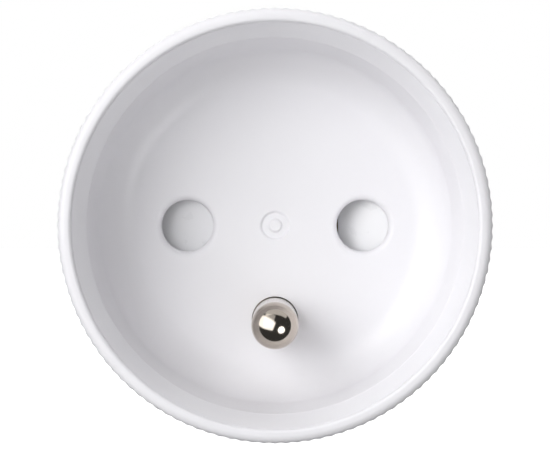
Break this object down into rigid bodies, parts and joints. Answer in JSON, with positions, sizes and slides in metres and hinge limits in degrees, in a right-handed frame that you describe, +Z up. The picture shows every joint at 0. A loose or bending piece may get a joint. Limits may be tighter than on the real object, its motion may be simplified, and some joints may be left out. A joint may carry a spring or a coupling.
{
  "type": "plug-in power meter",
  "caption": "Round plug-through power meter with a ribbed white body, a shuttered outlet recess with an earth pin, a light ring and plug pins behind.",
  "frame": {"origin": "centre of the plug face, which meets the floor of the wall outlet", "axes": "+Y along the plug pins, into the wall; -Y out of the outlet recess; +Z up; the earth pin is at -Z; the live hole at +X as drawn"},
  "size_m": [0.044, 0.065, 0.044],
  "materials": {
    "housing_plastic": "fine satin moulded plastic",
    "light_diffuser": "milky translucent plastic",
    "socket_plastic": "very fine matte moulded plastic",
    "nickel": "polished nickel plate",
    "shutter_plastic": "smooth moulded plastic",
    "spring_steel": "drawn spring wire",
    "inner_plastic": "plain moulded plastic",
    "screw_steel": "zinc plated steel",
    "contact_brass": "pressed brass",
    "earth_copper": "stamped copper alloy",
    "clip_nickel": "nickel plated spring strip",
    "base_plastic": "fine satin moulded plastic",
    "board_green": "solder-masked circuit board",
    "relay_black": "black moulded case",
    "tape_yellow": "yellow winding tape",
    "capacitor_grey": "grey potted case",
    "capacitor_sleeve": "dark shrink sleeve",
    "resistor_green": "ceramic coating",
    "shunt_alloy": "resistance alloy strip",
    "chip_black": "black moulded package",
    "header_pins": "gold plated pins",
    "shield_tin": "tinned shield",
    "led_yellow": "clear resin over yellow phosphor",
    "switch_black": "black moulded switch"
  },
  "bodies": {
    "housing": {"housing_shell": "housing_plastic", "light_ring": "light_diffuser", "socket_insert": "socket_plastic", "earth_pin": "nickel", "shutter_spring": "spring_steel", "shutter_cover": "inner_plastic", "cover_screws": "screw_steel", "live_contact": "contact_brass", "neutral_contact": "contact_brass", "earth_riser": "earth_copper", "earth_plate": "earth_copper", "rear_earth_sleeve": "contact_brass", "upper_earth_clip": "clip_nickel", "lower_earth_clip": "clip_nickel", "plug_base": "base_plastic", "live_pin": "nickel", "neutral_pin": "nickel", "power_board": "board_green", "board_screws": "screw_steel", "relay": "relay_black", "transformer": "tape_yellow", "mains_capacitor": "capacitor_grey", "bulk_capacitor": "capacitor_sleeve", "fuse_resistor": "resistor_green", "current_shunt": "shunt_alloy", "meter_chip": "chip_black", "board_header": "header_pins", "control_board": "board_green", "radio_module": "shield_tin", "indicator_leds": "led_yellow", "tact_switch": "switch_black"},
    "shutter": {"shutter_slide": "shutter_plastic"},
    "button": {"button_cap": "housing_plastic", "switch_plunger": "switch_black"}
  },
  "joints": [
    {"name": "shutter_push", "type": "slide", "parent": "housing", "child": "shutter", "axis": [1, 0, 0], "range_m": [0, 0.0058], "stiffness_N_per_m": 60, "springref_m": -0.004, "deforming": ["shutter_spring"]},
    {"name": "button_press", "type": "slide", "parent": "housing", "child": "button", "axis": [0, 0, -1], "range_m": [0, 0.0004], "stiffness_N_per_m": 4000, "springref_m": -0.0001}
  ]
}
